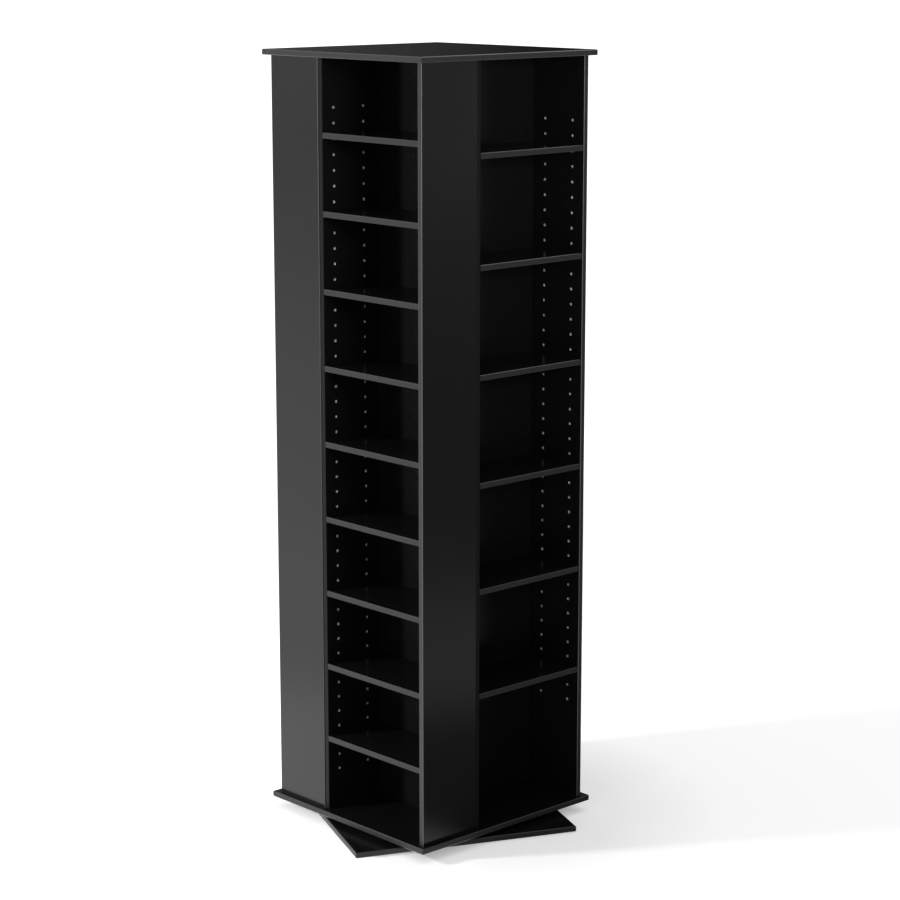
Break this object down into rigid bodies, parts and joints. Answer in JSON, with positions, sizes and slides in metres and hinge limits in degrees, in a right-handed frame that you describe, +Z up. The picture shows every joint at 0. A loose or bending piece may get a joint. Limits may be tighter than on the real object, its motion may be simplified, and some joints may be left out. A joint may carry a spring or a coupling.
{
  "type": "rotating media tower",
  "caption": "Four-sided storage tower for discs that spins on a flat ball-bearing turntable above a square base plate.",
  "frame": {"origin": "on the floor, on the spin axis, under the centre of the base plate", "axes": "+Z up along the spin axis; at rest face A with the CD shelves looks along -Y and face B along +X"},
  "size_m": [0.6448, 0.6448, 1.642],
  "materials": {
    "plate_board": "black laminate, satin",
    "panel_board": "black laminate, satin",
    "shelf_board": "black laminate, satin",
    "race_steel": "zinc plated",
    "ball_steel": "polished",
    "pin_steel": "nickel plated",
    "cage_plastic": "natural nylon",
    "glide_plastic": "matt"
  },
  "bodies": {
    "base": {"base_plate": "plate_board", "glide_1": "glide_plastic", "glide_2": "glide_plastic", "glide_3": "glide_plastic", "glide_4": "glide_plastic", "turntable_lower_race": "race_steel"},
    "ball_ring": {"ball_cage": "cage_plastic", "bearing_balls": "ball_steel"},
    "tower": {"turntable_upper_race": "race_steel", "bottom_plate": "plate_board", "top_plate": "plate_board", "outer_panel_a": "panel_board", "inner_panel_a": "panel_board", "shelf_pins_a": "pin_steel", "shelf_a1": "shelf_board", "shelf_a2": "shelf_board", "shelf_a3": "shelf_board", "shelf_a4": "shelf_board", "shelf_a5": "shelf_board", "shelf_a6": "shelf_board", "shelf_a7": "shelf_board", "shelf_a8": "shelf_board", "shelf_a9": "shelf_board", "outer_panel_b": "panel_board", "inner_panel_b": "panel_board", "shelf_pins_b": "pin_steel", "shelf_b1": "shelf_board", "shelf_b2": "shelf_board", "shelf_b3": "shelf_board", "shelf_b4": "shelf_board", "shelf_b5": "shelf_board", "shelf_b6": "shelf_board", "outer_panel_c": "panel_board", "inner_panel_c": "panel_board", "shelf_pins_c": "pin_steel", "shelf_c1": "shelf_board", "shelf_c2": "shelf_board", "shelf_c3": "shelf_board", "shelf_c4": "shelf_board", "shelf_c5": "shelf_board", "shelf_c6": "shelf_board", "outer_panel_d": "panel_board", "inner_panel_d": "panel_board", "shelf_pins_d": "pin_steel", "shelf_d1": "shelf_board", "shelf_d2": "shelf_board", "shelf_d3": "shelf_board", "shelf_d4": "shelf_board", "shelf_d5": "shelf_board", "shelf_d6": "shelf_board"}
  },
  "joints": [
    {"name": "tower_spin", "type": "hinge", "parent": "base", "child": "tower", "pos_m": [0, 0, 0.01841], "axis": [0, 0, 1], "continuous": true},
    {"name": "ball_ring_spin", "type": "hinge", "parent": "base", "child": "ball_ring", "pos_m": [0, 0, 0.01841], "axis": [0, 0, 1], "continuous": true}
  ],
  "couplings": [
    {"joint": "ball_ring_spin", "follows": "tower_spin", "ratio": 0.5}
  ]
}
